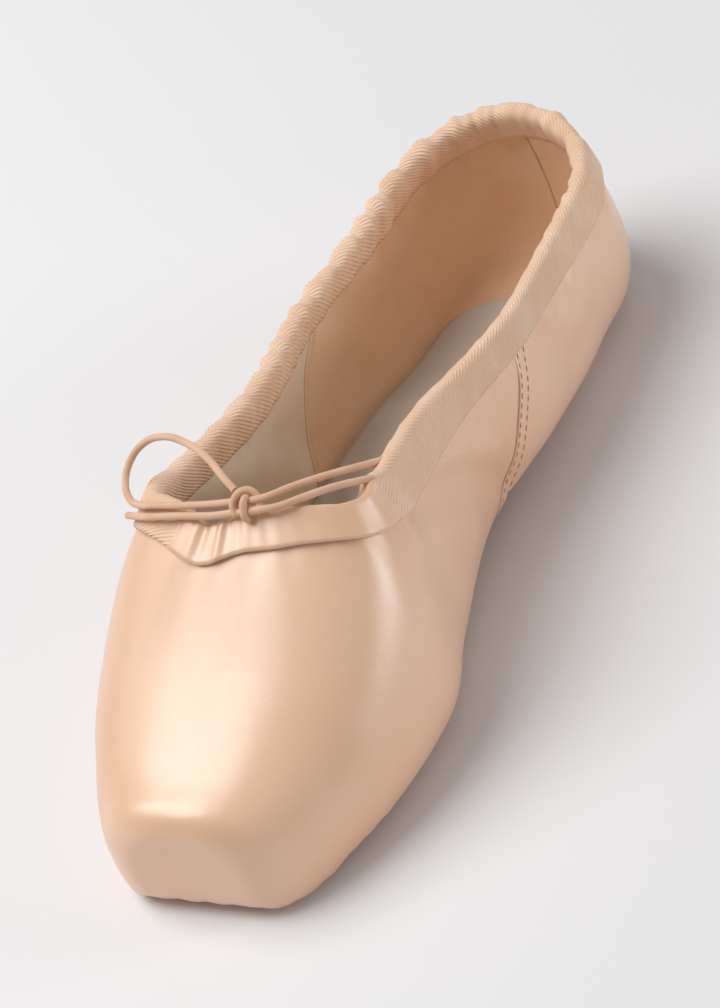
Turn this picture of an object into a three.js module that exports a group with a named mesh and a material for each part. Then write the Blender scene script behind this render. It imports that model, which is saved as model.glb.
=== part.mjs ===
import * as THREE from 'three';

// A pointe shoe standing on its sole. Sizes are millimetres, the toe points along -Y, and s is the
// distance back from the flat toe platform.
const SHOE_LENGTH = 238;
const GAP = 0.3;
const SOLE_THICKNESS = 2.2;
const INSOLE_THICKNESS = 2;
const QUARTER_WALL = 1.6;
const BOX_WALL = 2.6;
const BOX_FADE = { from: 50, to: 110 };
const PLATFORM_EDGE = 6;
const SOLE_LAP = 6;

// The last is a row of cross-sections. Each is widest at the belly, domed up to the crown with square or
// round shoulders, and tucked in below to the flat tread at the height of the keel.
const LAST = [
  { s: 0, halfWidth: 20, belly: 12, crown: 31, shoulder: 2.4, tread: 17.5, keel: 1.2 },
  { s: 12, halfWidth: 28.5, belly: 12.5, crown: 33.5, shoulder: 2.4, tread: 25, keel: 1.2 },
  { s: 22, halfWidth: 33.5, belly: 13.5, crown: 37.5, shoulder: 2.4, tread: 28.5, keel: 2.5 },
  { s: 35, halfWidth: 38.5, belly: 15, crown: 44.5, shoulder: 2.5, tread: 31, keel: 2.5 },
  { s: 62, halfWidth: 42, belly: 17, crown: 63, shoulder: 2.5, tread: 32, keel: 2.5 },
  { s: 90, halfWidth: 34.5, belly: 20, crown: 80, shoulder: 2.25, tread: 27, keel: 3.4 },
  { s: 125, halfWidth: 29, belly: 23, crown: 80, shoulder: 2.2, tread: 20.5, keel: 6.5 },
  { s: 160, halfWidth: 32.5, belly: 22, crown: 74, shoulder: 2.2, tread: 19.5, keel: 5.5 },
  { s: 188, halfWidth: 31.2, belly: 20.5, crown: 70.5, shoulder: 2.2, tread: 19.8, keel: 2.5 },
  { s: 204, halfWidth: 30.6, belly: 20, crown: 69, shoulder: 2.2, tread: 20, keel: 2.5 },
];
const FEATHER_POWER = 2.3;
const HEEL_POWER = 2.15;
const HEEL_LEAN = { height: 50, forward: 5 };

// The height of the collar edge on its way round from the throat, 0, to the back of the heel, 1.
const COLLAR = [
  { way: 0, z: 66 },
  { way: 0.2, z: 66 },
  { way: 0.3, z: 65 },
  { way: 0.37, z: 60 },
  { way: 0.44, z: 53.5 },
  { way: 0.52, z: 49 },
  { way: 0.62, z: 46.5 },
  { way: 0.75, z: 45.5 },
  { way: 1, z: 50.5 },
];

// The outsole seen from below, without its rounded ends.
const OUTSOLE = [
  { s: 24, halfWidth: 24 },
  { s: 55, halfWidth: 27.5 },
  { s: 85, halfWidth: 25.5 },
  { s: 125, halfWidth: 18 },
  { s: 150, halfWidth: 17.5 },
  { s: 190, halfWidth: 20 },
  { s: 209, halfWidth: 19.5 },
];
const OUTSOLE_TOE = { s: 24, round: 22, power: 2.2 };
const OUTSOLE_HEEL = { s: 209, round: 12, power: 2.6 };

// The insole stops short of the back of the heel and curls up the sides at the waist.
const INSOLE = [
  { s: 18, halfWidth: 25 },
  { s: 40, halfWidth: 29 },
  { s: 62, halfWidth: 30 },
  { s: 90, halfWidth: 26.5 },
  { s: 125, halfWidth: 23.5 },
  { s: 160, halfWidth: 23 },
  { s: 190, halfWidth: 20.5 },
  { s: 211, halfWidth: 18.5 },
];
const INSOLE_TOE = { s: 18, round: 26, power: 2.15 };
const INSOLE_HEEL = { s: 211, round: 15, power: 2.15 };

// Meridians fan round the toe from one upright axis, cross the sides and fan round the heel from another.
const AXIS_HEIGHT = 24;
const TOE_AXIS = 88;
const HEEL_AXIS = 204;
const TOE_FAN_WIDTH = 42;
const TOE_SHARE = 0.4;
const HEEL_SHARE = 0.75;
const TOE_STEPS = 12;
const SIDE_STEPS = 9;
const HEEL_STEPS = 7;
const BODY_ROWS = 19;
const TURN_WEIGHT = 9;

// A band covers the side seam of vamp and quarter. It slants towards the heel on its way up.
const SIDE_SLANT = 0.8;
const SEAM = { s: 143, band: 4, rise: 0.5, edge: 0.8, foot: 9 };

const BINDING = { depth: 9, tape: 1, roll: 1.5 };
const HEEL_STRIP = { thickness: 0.8, columns: 1, firstRow: 3 };

// The origin is on the floor under the middle of the shoe's whole length.
const MIDDLE = (SHOE_LENGTH + GAP + HEEL_STRIP.thickness) / 2;

// The drawstring is a round cord. Two strands leave the casing beside the throat and are tied in a knot,
// with one loop and one short end lying over the left shoulder of the vamp. Places are x, s and z.
const CORD = { diameter: 1.8, sides: 8, step: 4.5 };
const KNOT = { place: [6, 65.3, 70], halfSize: [3.4, 2.4, 2.1] };
const CORD_ROUTES = {
  strand_upper: [[9.7, 66.7, 70.8], [15, 72, 69.8], [20, 79.5, 66.8], [24.5, 88.5, 62], [26.7, 93.6, 59.2]],
  strand_lower: [[9.7, 64.4, 69.4], [13.5, 65.9, 69.1], [18, 69.5, 68.7], [23, 75.5, 66.8], [28.6, 84, 62.3]],
  loop: [
    [2.4, 66, 69.9], [-3, 65.5, 69.3], [-9, 65.1, 68.9], [-14, 65.2, 68.4], [-20.5, 66.4, 66.9],
    [-26.5, 68.6, 64.6], [-31, 71.5, 63.8], [-33.5, 75.5, 65], [-33, 79.5, 68], [-29.5, 82.3, 71.3],
    [-23.5, 82.4, 73.8], [-15, 79.5, 75], [-7, 74.9, 74.8], [-0.5, 69.8, 73.4], [2.8, 67.6, 72.1],
  ],
  tail: [
    [2.4, 63.8, 68.4], [-2, 63.1, 68], [-7, 62.9, 67.7], [-12, 63.1, 67.2], [-17, 63.5, 66.3],
    [-22, 64.6, 64.8], [-27, 66.6, 62.8], [-31, 68.6, 61],
  ],
};

// Reads a column of a table at a place along its first column, on a smooth curve that is level at the
// table's turning points.
function sizeAt(table, column, where) {
  const [key] = Object.keys(table[0]);
  const top = table.length - 1;
  const place = THREE.MathUtils.clamp(where, table[0][key], table[top][key]);
  let i = 0;
  while (i < top - 1 && table[i + 1][key] <= place) {
    i += 1;
  }
  const span = (k) => table[k + 1][key] - table[k][key];
  const steepness = (k) => (table[k + 1][column] - table[k][column]) / span(k);
  const slope = (k) => {
    const before = steepness(Math.max(k - 1, 0));
    const after = steepness(Math.min(k, top - 1));
    return before * after > 0 ? (before + after) / 2 : 0;
  };
  const t = (place - table[i][key]) / span(i);
  const rise = table[i + 1][column] - table[i][column];
  const bend = span(i) * (slope(i) * t * (1 - t) ** 2 - slope(i + 1) * t ** 2 * (1 - t));
  return table[i][column] + rise * (3 - 2 * t) * t ** 2 + bend;
}

// Half the width of a rounded form at a share of its length, or less than nothing past its end.
function rounded(share, power) {
  return share < 1 ? (1 - share ** power) ** (1 / power) : -1;
}

function isInsideLast(x, s, z) {
  const at = Math.min(s, HEEL_AXIS);
  const reach = Math.max(PLATFORM_EDGE - s, 0);
  const edge = PLATFORM_EDGE - Math.sqrt(PLATFORM_EDGE ** 2 - Math.min(reach, PLATFORM_EDGE) ** 2);
  const belly = sizeAt(LAST, 'belly', at);
  const crown = sizeAt(LAST, 'crown', at) - edge;
  const keel = sizeAt(LAST, 'keel', at) + edge;
  if (s < 0 || z < keel || z > crown) {
    return false;
  }
  let half = sizeAt(LAST, 'halfWidth', at) - edge;
  let tuck = 0;
  if (z > belly) {
    half *= rounded((z - belly) / (crown - belly), sizeAt(LAST, 'shoulder', at));
    tuck = HEEL_LEAN.forward * ((z - belly) / (HEEL_LEAN.height - belly)) ** 2;
  } else {
    const spread = half - sizeAt(LAST, 'tread', at) + edge;
    tuck = spread * (1 - rounded((belly - z) / (belly - keel), FEATHER_POWER));
    half -= tuck;
  }
  if (s > HEEL_AXIS) {
    half *= rounded((s - HEEL_AXIS) / (SHOE_LENGTH - HEEL_AXIS - tuck), HEEL_POWER);
  }
  return Math.abs(x) <= half;
}

// Half the width of a flat outline with two rounded ends, drawn in by an inset.
function outlineHalfWidth(table, toeEnd, heelEnd, s, inset) {
  const toe = (toeEnd.s + toeEnd.round - s) / (toeEnd.round - inset);
  const heel = (s - heelEnd.s + heelEnd.round) / (heelEnd.round - inset);
  const half = sizeAt(table, 'halfWidth', s) - inset;
  return half * rounded(Math.max(toe, 0), toeEnd.power) * rounded(Math.max(heel, 0), heelEnd.power);
}

function soleHalfWidth(s, inset) {
  return outlineHalfWidth(OUTSOLE, OUTSOLE_TOE, OUTSOLE_HEEL, s, inset);
}

// Bisects between a value where the test holds and one where it fails.
function lastTrue(test, near, far) {
  let holds = near;
  let fails = far;
  for (let i = 0; i < 32; i += 1) {
    const middle = (holds + fails) / 2;
    if (test(middle)) {
      holds = middle;
    } else {
      fails = middle;
    }
  }
  return holds;
}

// Where the meridian t stands and which way it faces: 0 is the toe, 1 or -1 the heel.
function meridianFrame(t) {
  const way = Math.abs(t);
  const side = t < 0 ? -1 : 1;
  if (way < TOE_SHARE) {
    const turn = ((way / TOE_SHARE) * Math.PI) / 2;
    const angle = Math.atan2(Math.sin(turn) * TOE_FAN_WIDTH, Math.cos(turn) * TOE_AXIS);
    return { axis: TOE_AXIS, across: side * Math.sin(angle), along: -Math.cos(angle), slant: 0 };
  }
  if (way <= HEEL_SHARE) {
    const share = (way - TOE_SHARE) / (HEEL_SHARE - TOE_SHARE);
    const axis = TOE_AXIS + share * (HEEL_AXIS - TOE_AXIS);
    return { axis, across: side, along: 0, slant: SIDE_SLANT * Math.sin(share * Math.PI) };
  }
  const angle = (((way - HEEL_SHARE) / (1 - HEEL_SHARE)) * Math.PI) / 2;
  return { axis: HEEL_AXIS, across: side * Math.cos(angle), along: Math.sin(angle), slant: 0 };
}

// The point of the last that a meridian reaches at an angle above the level of the axis.
function lastPoint(frame, angle) {
  const x = frame.across * Math.cos(angle);
  const s = frame.along * Math.cos(angle) + frame.slant * Math.sin(angle);
  const z = Math.sin(angle);
  const hits = (d) => isInsideLast(x * d, frame.axis + s * d, AXIS_HEIGHT + z * d);
  const distance = lastTrue(hits, 0, SHOE_LENGTH);
  return new THREE.Vector3(x * distance, frame.axis + s * distance, AXIS_HEIGHT + z * distance);
}

// One meridian of the upper, from the opening underneath to the collar. Its rows are closer together on
// the bends, and the last row is one binding's depth above the one before it.
function meridianPoints(t) {
  const frame = meridianFrame(t);
  const isOverOpening = (angle) => {
    const point = lastPoint(frame, angle);
    return Math.abs(point.x) < soleHalfWidth(point.y, SOLE_LAP);
  };
  const collar = sizeAt(COLLAR, 'z', Math.abs(t));
  const isBelowCollar = (angle) => lastPoint(frame, angle).z < collar;
  const level = lastTrue(isBelowCollar, 0, Math.PI / 2);
  const start = lastTrue(isOverOpening, -Math.PI / 2, 0);
  const samples = 90;
  const path = [];
  for (let i = 0; i <= samples; i += 1) {
    path.push(lastPoint(frame, start + ((level - start) * i) / samples));
  }
  const length = [0];
  const weight = [0];
  for (let i = 1; i <= samples; i += 1) {
    const step = path[i].clone().sub(path[i - 1]);
    const next = path[Math.min(i + 1, samples)].clone().sub(path[i]);
    const turn = i < samples ? step.angleTo(next) : 0;
    length.push(length[i - 1] + step.length());
    weight.push(weight[i - 1] + step.length() + TURN_WEIGHT * turn);
  }
  const at = (measure, goal) => {
    let i = 1;
    while (i < samples && measure[i] < goal) {
      i += 1;
    }
    const share = (goal - measure[i - 1]) / (measure[i] - measure[i - 1]);
    return { place: i - 1 + share, point: path[i - 1].clone().lerp(path[i], share) };
  };
  const edge = at(length, length[samples] - BINDING.depth);
  const edgeStep = Math.floor(edge.place);
  const edgeWeight = THREE.MathUtils.lerp(weight[edgeStep], weight[edgeStep + 1], edge.place - edgeStep);
  const points = [];
  for (let row = 0; row < BODY_ROWS - 1; row += 1) {
    points.push(row === 0 ? path[0] : at(weight, (edgeWeight * row) / (BODY_ROWS - 1)).point);
  }
  points.push(edge.point, path[samples]);
  return points;
}

function meridianAt(s) {
  return TOE_SHARE + ((s - TOE_AXIS) / (HEEL_AXIS - TOE_AXIS)) * (HEEL_SHARE - TOE_SHARE);
}

// The meridians of one side, toe to heel, with two close pairs along the edges of the seam band.
function sideStations() {
  const stations = [];
  for (let i = 0; i < TOE_STEPS; i += 1) {
    stations.push((TOE_SHARE * i) / TOE_STEPS);
  }
  const half = SEAM.band / 2;
  const bandEdges = [-half - SEAM.edge, -half, half, half + SEAM.edge].map((d) => meridianAt(SEAM.s + d));
  for (let i = 0; i < SIDE_STEPS; i += 1) {
    const t = THREE.MathUtils.lerp(TOE_SHARE, HEEL_SHARE, i / SIDE_STEPS);
    const margin = meridianAt(TOE_AXIS + SEAM.band) - TOE_SHARE;
    if (t < bandEdges[0] - margin || t > bandEdges[3] + margin) {
      stations.push(t);
    }
  }
  stations.push(...bandEdges);
  for (let i = 0; i <= HEEL_STEPS; i += 1) {
    stations.push(THREE.MathUtils.lerp(HEEL_SHARE, 1, i / HEEL_STEPS));
  }
  return stations.sort((a, b) => a - b);
}

const rightStations = sideStations();
const leftStations = rightStations.slice(1, -1).map((t) => -t).reverse();
const stations = [...leftStations, ...rightStations];
const lastRow = BODY_ROWS;
const skin = stations.map(meridianPoints);

function wrapped(i) {
  return (i + stations.length) % stations.length;
}

function skinNormal(i, row) {
  const around = skin[wrapped(i + 1)][row].clone().sub(skin[wrapped(i - 1)][row]);
  const upward = skin[i][Math.min(row + 1, lastRow)].clone().sub(skin[i][Math.max(row - 1, 0)]);
  return around.cross(upward).normalize();
}

// A point at a distance outside the lasted surface, in the frame of the shoe.
function skinPoint(i, row, distance) {
  const point = skin[i][row].clone().addScaledVector(skinNormal(i, row), distance);
  point.y -= MIDDLE;
  return point;
}

function wallAt(s) {
  return THREE.MathUtils.lerp(BOX_WALL, QUARTER_WALL, THREE.MathUtils.smoothstep(s, BOX_FADE.from, BOX_FADE.to));
}

// The seam band stands proud of the wall between its edges, from the feather edge to the binding.
function seamRise(i, row) {
  const offset = Math.abs(Math.abs(stations[i]) - meridianAt(SEAM.s));
  const inBand = offset < meridianAt(SEAM.s + SEAM.band / 2 + SEAM.edge / 2) - meridianAt(SEAM.s);
  const isClear = row < lastRow - 1 && skin[i][row].z > SEAM.foot;
  return inBand && isClear ? SEAM.rise : 0;
}

// Skins a list of closed loops. A ring joins its last loop to its first, and other sweeps get end caps.
// Each quad is split along its shorter diagonal, so that neighbouring skins bend in the same way.
function sweep(loops, isRing) {
  const count = loops[0].length;
  const points = loops.flat();
  const positions = points.flatMap((point) => point.toArray());
  const triangles = [];
  const quad = (a, b, c, d) => {
    const isFirstShorter = points[a].distanceTo(points[c]) < points[b].distanceTo(points[d]);
    triangles.push(...(isFirstShorter ? [a, b, c, a, c, d] : [a, b, d, b, c, d]));
  };
  const spans = isRing ? loops.length : loops.length - 1;
  for (let i = 0; i < spans; i += 1) {
    const here = i * count;
    const there = ((i + 1) % loops.length) * count;
    for (let k = 0; k < count; k += 1) {
      const next = (k + 1) % count;
      quad(here + k, there + k, there + next, here + next);
    }
  }
  if (!isRing) {
    const end = (loops.length - 1) * count;
    for (let k = 0; k < count / 2 - 1; k += 1) {
      quad(k, k + 1, count - 2 - k, count - 1 - k);
      quad(end + k, end + count - 1 - k, end + count - 2 - k, end + k + 1);
    }
  }
  const geometry = new THREE.BufferGeometry();
  geometry.setAttribute('position', new THREE.Float32BufferAttribute(positions, 3));
  geometry.setIndex(triangles);
  geometry.computeVertexNormals();
  return geometry;
}

function upperGeometry() {
  const loops = stations.map((_, i) => {
    const outside = [];
    const inside = [];
    for (let row = 0; row <= lastRow; row += 1) {
      outside.push(skinPoint(i, row, seamRise(i, row)));
      inside.unshift(skinPoint(i, row, -wallAt(skin[i][row].y)));
    }
    return [...outside, ...inside];
  });
  return sweep(loops, true);
}

// A sheet along the shoe, from its half width at each s and the height of its underside at each x and s.
function sheetGeometry(places, halfWidth, underside, thickness) {
  const columns = 6;
  const loops = places.map((s) => {
    const below = [];
    const above = [];
    for (let i = 0; i <= columns; i += 1) {
      const x = halfWidth(s) * ((2 * i) / columns - 1);
      below.push(new THREE.Vector3(x, s - MIDDLE, underside(x, s)));
      above.unshift(new THREE.Vector3(x, s - MIDDLE, underside(x, s) + thickness));
    }
    return [...below, ...above];
  });
  return sweep(loops, false);
}

// Places along a sheet, closer together round its two ends.
function sheetPlaces(from, to) {
  const steps = 30;
  const places = [];
  for (let i = 0; i <= steps; i += 1) {
    const share = 0.5 - 0.5 * Math.cos((Math.PI * i) / steps);
    places.push(THREE.MathUtils.lerp(from, to, share));
  }
  return places;
}

function outsoleGeometry() {
  const end = 0.05;
  const places = sheetPlaces(OUTSOLE_TOE.s + end, OUTSOLE_HEEL.s - end);
  const underside = (x, s) => sizeAt(LAST, 'keel', s) - GAP - SOLE_THICKNESS;
  return sheetGeometry(places, (s) => soleHalfWidth(s, 0), underside, SOLE_THICKNESS);
}

// The height of the inside of the upper's bottom, level over the tread and curling up beyond it.
function insideBottom(x, s) {
  const at = Math.min(s, HEEL_AXIS);
  const wall = wallAt(s) + GAP;
  const belly = sizeAt(LAST, 'belly', at);
  const keel = sizeAt(LAST, 'keel', at) + wall;
  const tread = sizeAt(LAST, 'tread', at) - wall;
  const spread = sizeAt(LAST, 'halfWidth', at) - wall - tread;
  const share = Math.max((Math.abs(x) - tread) / spread, 0);
  return belly - (belly - keel) * rounded(share, FEATHER_POWER);
}

function insoleGeometry() {
  const end = 0.05;
  const places = sheetPlaces(INSOLE_TOE.s + end, INSOLE_HEEL.s - end);
  const halfWidth = (s) => outlineHalfWidth(INSOLE, INSOLE_TOE, INSOLE_HEEL, s, 0);
  return sheetGeometry(places, halfWidth, insideBottom, INSOLE_THICKNESS);
}

// The binding is one tape folded over the collar: a long leg outside, a rolled top and a leg inside.
function bindingGeometry() {
  const loops = stations.map((_, i) => {
    const wall = wallAt(skin[i][lastRow].y);
    const upward = skin[i][lastRow].clone().sub(skin[i][lastRow - 1]).normalize();
    const foot = (distance) => skinPoint(i, lastRow - 1, distance);
    const top = (distance, above) => skinPoint(i, lastRow, distance).addScaledVector(upward, above);
    const outer = GAP + BINDING.tape;
    const inner = -wall - GAP;
    return [
      foot(GAP),
      foot(outer),
      top(GAP + BINDING.roll, -BINDING.roll),
      top(outer / 2, GAP + BINDING.roll),
      top(inner + GAP - BINDING.tape / 2, GAP + BINDING.roll),
      top(inner - BINDING.roll, -BINDING.roll),
      foot(inner - BINDING.tape),
      foot(inner),
      top(inner, GAP),
      top(GAP, GAP),
    ];
  });
  return sweep(loops, true);
}

// The strip up the back of the heel follows the middle meridians from the sole to the binding.
function heelStripGeometry() {
  const middle = stations.length - 1;
  const columns = [];
  for (let k = -HEEL_STRIP.columns; k <= HEEL_STRIP.columns; k += 1) {
    columns.push(wrapped(middle + k));
  }
  const loops = [];
  for (let row = HEEL_STRIP.firstRow; row < lastRow; row += 1) {
    const below = columns.map((i) => skinPoint(i, row, GAP));
    const above = columns.map((i) => skinPoint(i, row, GAP + HEEL_STRIP.thickness)).reverse();
    loops.push([...below, ...above]);
  }
  const down = loops.at(-2)[0].clone().sub(loops.at(-1)[0]).setLength(GAP);
  loops.at(-1).forEach((point) => point.add(down));
  return sweep(loops, false);
}

function shoePoint([x, s, z]) {
  return new THREE.Vector3(x, s - MIDDLE, z);
}

function cordGeometry(route) {
  const path = new THREE.CatmullRomCurve3(route.map(shoePoint));
  const section = new THREE.Shape().absarc(0, 0, CORD.diameter / 2, 0, 2 * Math.PI);
  return new THREE.ExtrudeGeometry(section, {
    extrudePath: path,
    steps: Math.round(path.getLength() / CORD.step),
    curveSegments: CORD.sides / 2,
    bevelEnabled: false,
  });
}

function knotGeometry() {
  const geometry = new THREE.SphereGeometry(1, 12, 8);
  geometry.scale(...KNOT.halfSize);
  return geometry;
}

function piece(name, geometry, color, roughness) {
  const mesh = new THREE.Mesh(geometry, new THREE.MeshStandardMaterial({ color, roughness, metalness: 0 }));
  mesh.name = name;
  return mesh;
}

const shoe = new THREE.Group();
shoe.add(piece('outsole', outsoleGeometry(), 0xb67b59, 0.6));
shoe.add(piece('upper', upperGeometry(), 0xe3c3ab, 0.35));
shoe.add(piece('insole', insoleGeometry(), 0xe1d5cc, 0.85));
shoe.add(piece('heel_strip', heelStripGeometry(), 0xe3c0a2, 0.35));
shoe.add(piece('binding', bindingGeometry(), 0xecd1b9, 0.6));

const knot = piece('knot', knotGeometry(), 0xd8c6b4, 0.7);
knot.position.copy(shoePoint(KNOT.place));
shoe.add(knot);
for (const [name, route] of Object.entries(CORD_ROUTES)) {
  shoe.add(piece(name, cordGeometry(route), 0xd8c6b4, 0.7));
}

export default shoe;
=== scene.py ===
import math

import bmesh
import bpy
import numpy as np
from mathutils import Matrix, Vector


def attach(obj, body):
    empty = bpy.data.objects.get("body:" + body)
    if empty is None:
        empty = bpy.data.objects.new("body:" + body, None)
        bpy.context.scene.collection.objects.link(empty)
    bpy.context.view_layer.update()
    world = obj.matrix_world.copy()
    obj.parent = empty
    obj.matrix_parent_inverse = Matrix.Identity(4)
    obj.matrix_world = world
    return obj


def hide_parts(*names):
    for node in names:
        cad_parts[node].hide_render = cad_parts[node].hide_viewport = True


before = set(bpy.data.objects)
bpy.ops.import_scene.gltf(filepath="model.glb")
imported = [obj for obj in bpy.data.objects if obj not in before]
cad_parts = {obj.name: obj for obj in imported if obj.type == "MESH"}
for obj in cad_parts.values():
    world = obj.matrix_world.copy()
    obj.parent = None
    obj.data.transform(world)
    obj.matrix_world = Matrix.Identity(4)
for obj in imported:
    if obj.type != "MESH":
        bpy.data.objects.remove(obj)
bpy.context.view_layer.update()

# Outsole: one pear-shaped piece of tan leather, about 2 mm thick, glued under the upper. Its cut edge is
# left raw and pale, it bridges the waist, and crossing lines are scored under the ball of the foot.
MM = 0.001
MIDDLE = 119.55
GAP = 0.3
SOLE_THICKNESS = 2.2
SOLE_COLUMNS = 28
SOLE_ROWS = 160
SOLE_EDGE_ROUND = 0.45

# Sections of the last at s millimetres back from the flat toe, in millimetres.
LAST = {
    "s": [0, 12, 22, 35, 62, 90, 125, 160, 188, 204],
    "half_width": [20, 28.5, 33.5, 38.5, 42, 34.5, 29, 32.5, 31.2, 30.6],
    "belly": [12, 12.5, 13.5, 15, 17, 20, 23, 22, 20.5, 20],
    "crown": [31, 33.5, 37.5, 44.5, 63, 80, 80, 74, 70.5, 69],
    "shoulder": [2.4, 2.4, 2.4, 2.5, 2.5, 2.25, 2.2, 2.2, 2.2, 2.2],
    "tread": [17.5, 25, 28.5, 31, 32, 27, 20.5, 19.5, 19.8, 20],
    "keel": [1.2, 1.2, 2.5, 2.5, 2.5, 3.4, 6.5, 5.5, 2.5, 2.5],
}
HEEL_AXIS = 204
OUTSOLE = {
    "s": [24, 55, 85, 125, 150, 190, 209],
    "half_width": [24, 27.5, 25.5, 18, 17.5, 20, 19.5],
}
OUTSOLE_TOE = {"s": 24, "round": 22, "power": 2.2}
OUTSOLE_HEEL = {"s": 209, "round": 12, "power": 2.6}
SCORE = {"pitch": 9, "width": 0.55, "slope": 1.1, "from": 27, "to": 92, "depth": 0.35}


def size_at(table, column, where):
    """A column of a table, read along its first column on a curve that is level at turning points."""
    key = np.array(next(iter(table.values())), float)
    size = np.array(table[column], float)
    steep = np.diff(size) / np.diff(key)
    before = np.concatenate([steep[:1], steep])
    after = np.concatenate([steep, steep[-1:]])
    slope = np.where(before * after > 0, (before + after) / 2, 0)
    place = np.clip(where, key[0], key[-1])
    i = np.clip(np.searchsorted(key, place, side="right") - 1, 0, len(key) - 2)
    span = key[i + 1] - key[i]
    t = (place - key[i]) / span
    bend = span * (slope[i] * t * (1 - t) ** 2 - slope[i + 1] * t**2 * (1 - t))
    return size[i] + (size[i + 1] - size[i]) * (3 - 2 * t) * t**2 + bend


def rounded(share, power):
    """Half the width of a rounded form at a share of its length, or less than nothing past its end."""
    return np.where(share < 1, (1 - np.clip(share, 0, 1) ** power) ** (1 / power), -1)


def outline_half_width(table, toe_end, heel_end, s, inset):
    """Half the width of a flat outline with two rounded ends, drawn in by an inset."""
    toe = (toe_end["s"] + toe_end["round"] - s) / (toe_end["round"] - inset)
    heel = (s - heel_end["s"] + heel_end["round"]) / (heel_end["round"] - inset)
    half = size_at(table, "half_width", s) - inset
    return half * rounded(toe, toe_end["power"]) * rounded(heel, heel_end["power"])


def sole_half_width(s, inset):
    """Half the width of the outsole's outline, drawn in by an inset."""
    return outline_half_width(OUTSOLE, OUTSOLE_TOE, OUTSOLE_HEEL, s, inset)


def sheet_places(first, last, count):
    """Places along a sheet, closer together round its two ends."""
    end = 0.05
    share = 0.5 - 0.5 * np.cos(np.linspace(0, np.pi, count))
    return first + end + (last - first - 2 * end) * share


def cloth_sheet(name, places, spread, finish_of_column=None):
    """A sheet of quads through places, columns by rows, given as x, s and height in millimetres. Spread
    is each place's position on the flat cloth. Columns that come round to the first are closed."""
    columns, rows = places.shape[:2]
    bm = bmesh.new()
    flat = bm.loops.layers.uv.new("cloth")
    bmesh.ops.create_grid(bm, x_segments=columns - 1, y_segments=rows - 1, size=1)
    where = []
    for vert in bm.verts:
        column = round((vert.co.x + 1) / 2 * (columns - 1))
        row = round((vert.co.y + 1) / 2 * (rows - 1))
        where.append((column, row))
    for vert, (column, row) in zip(bm.verts, where):
        x, s, z = places[column, row]
        vert.co = (x * MM, (s - MIDDLE) * MM, z * MM)
    bm.verts.index_update()
    for face in bm.faces:
        face.smooth = True
        for loop in face.loops:
            loop[flat].uv = spread[where[loop.vert.index]] * MM
        if finish_of_column is not None:
            face.material_index = finish_of_column[where[face.verts[0].index][0]]
    bmesh.ops.remove_doubles(bm, verts=bm.verts, dist=0.00001)
    return placed(name, bm)


def placed(name, bm):
    """An object at the origin that holds a finished mesh."""
    mesh = bpy.data.meshes.new(name)
    bm.to_mesh(mesh)
    bm.free()
    piece = bpy.data.objects.new(name, mesh)
    bpy.context.scene.collection.objects.link(piece)
    return piece


def thicken(piece, thickness, rim=0):
    """Gives a sheet its thickness on the side away from its face, with a material for the rim."""
    solid = piece.modifiers.new("thickness", "SOLIDIFY")
    solid.thickness = thickness * MM
    solid.offset = -1
    solid.use_even_offset = False
    solid.material_offset_rim = rim


def part_of_shoe(piece, slot, *nodes):
    """Fixes a piece to the shoe, in the place of its plain solids."""
    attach(piece, "root")
    if nodes:
        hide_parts(*nodes)


def colour(red, green, blue):
    """A screen colour from 0 to 255 as the linear colour that a shader takes."""
    def linear(channel):
        share = channel / 255
        return share / 12.92 if share <= 0.04045 else ((share + 0.055) / 1.055) ** 2.4
    return (linear(red), linear(green), linear(blue), 1)


class Tone:
    """A value or a colour that varies over a surface: one socket among a material's nodes."""

    def __init__(self, tree, socket=None):
        self.tree = tree
        self.socket = socket

    def node(self, kind, settings, inputs, output=0):
        made = self.tree.nodes.new(kind)
        for name, value in settings.items():
            setattr(made, name, value)
        for key, value in inputs.items():
            if isinstance(value, Tone):
                self.tree.links.new(value.socket, made.inputs[key])
            else:
                made.inputs[key].default_value = value
        return Tone(self.tree, made.outputs[output])

    def math(self, operation, *values):
        return self.node("ShaderNodeMath", {"operation": operation}, dict(enumerate(values)))

    def __add__(self, other):
        return self.math("ADD", self, other)

    def __sub__(self, other):
        return self.math("SUBTRACT", self, other)

    def __rsub__(self, other):
        return self.math("SUBTRACT", other, self)

    def __mul__(self, other):
        return self.math("MULTIPLY", self, other)

    __radd__ = __add__
    __rmul__ = __mul__

    def sine(self):
        return self.math("SINE", self)

    def size(self):
        return self.math("ABSOLUTE", self)

    def step(self, low, high):
        """0 up to low and 1 from high on, with a soft rise between them."""
        limits = {"From Min": low, "From Max": high}
        kind = {"interpolation_type": "SMOOTHSTEP"}
        return self.node("ShaderNodeMapRange", kind, {"Value": self, **limits})

    def mix(self, first, second):
        """From the first colour at 0 to the second at 1."""
        return self.node("ShaderNodeMix", {"data_type": "RGBA"}, {0: self, 6: first, 7: second}, 2)

    def axes(self):
        """The three values of a place."""
        return [self.node("ShaderNodeSeparateXYZ", {}, {0: self}, k) for k in range(3)]

    def object_place(self):
        return self.node("ShaderNodeTexCoord", {}, {}, "Object")

    def cloth_place(self):
        """How far round and how far up the flat cloth, in metres."""
        return self.node("ShaderNodeUVMap", {"uv_map": "cloth"}, {}).axes()[:2]

    def noise(self, place, scale, detail=2.0):
        return self.node("ShaderNodeTexNoise", {}, {"Vector": place, "Scale": scale, "Detail": detail})

    def bump(self, height, depth, under=None):
        """A relief of that depth in millimetres, over another one."""
        inputs = {"Height": height, "Strength": 1.0, "Distance": depth * MM}
        if under is not None:
            inputs["Normal"] = under
        return self.node("ShaderNodeBump", {}, inputs)

    def feed(self, socket):
        self.tree.links.new(self.socket, socket)


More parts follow.
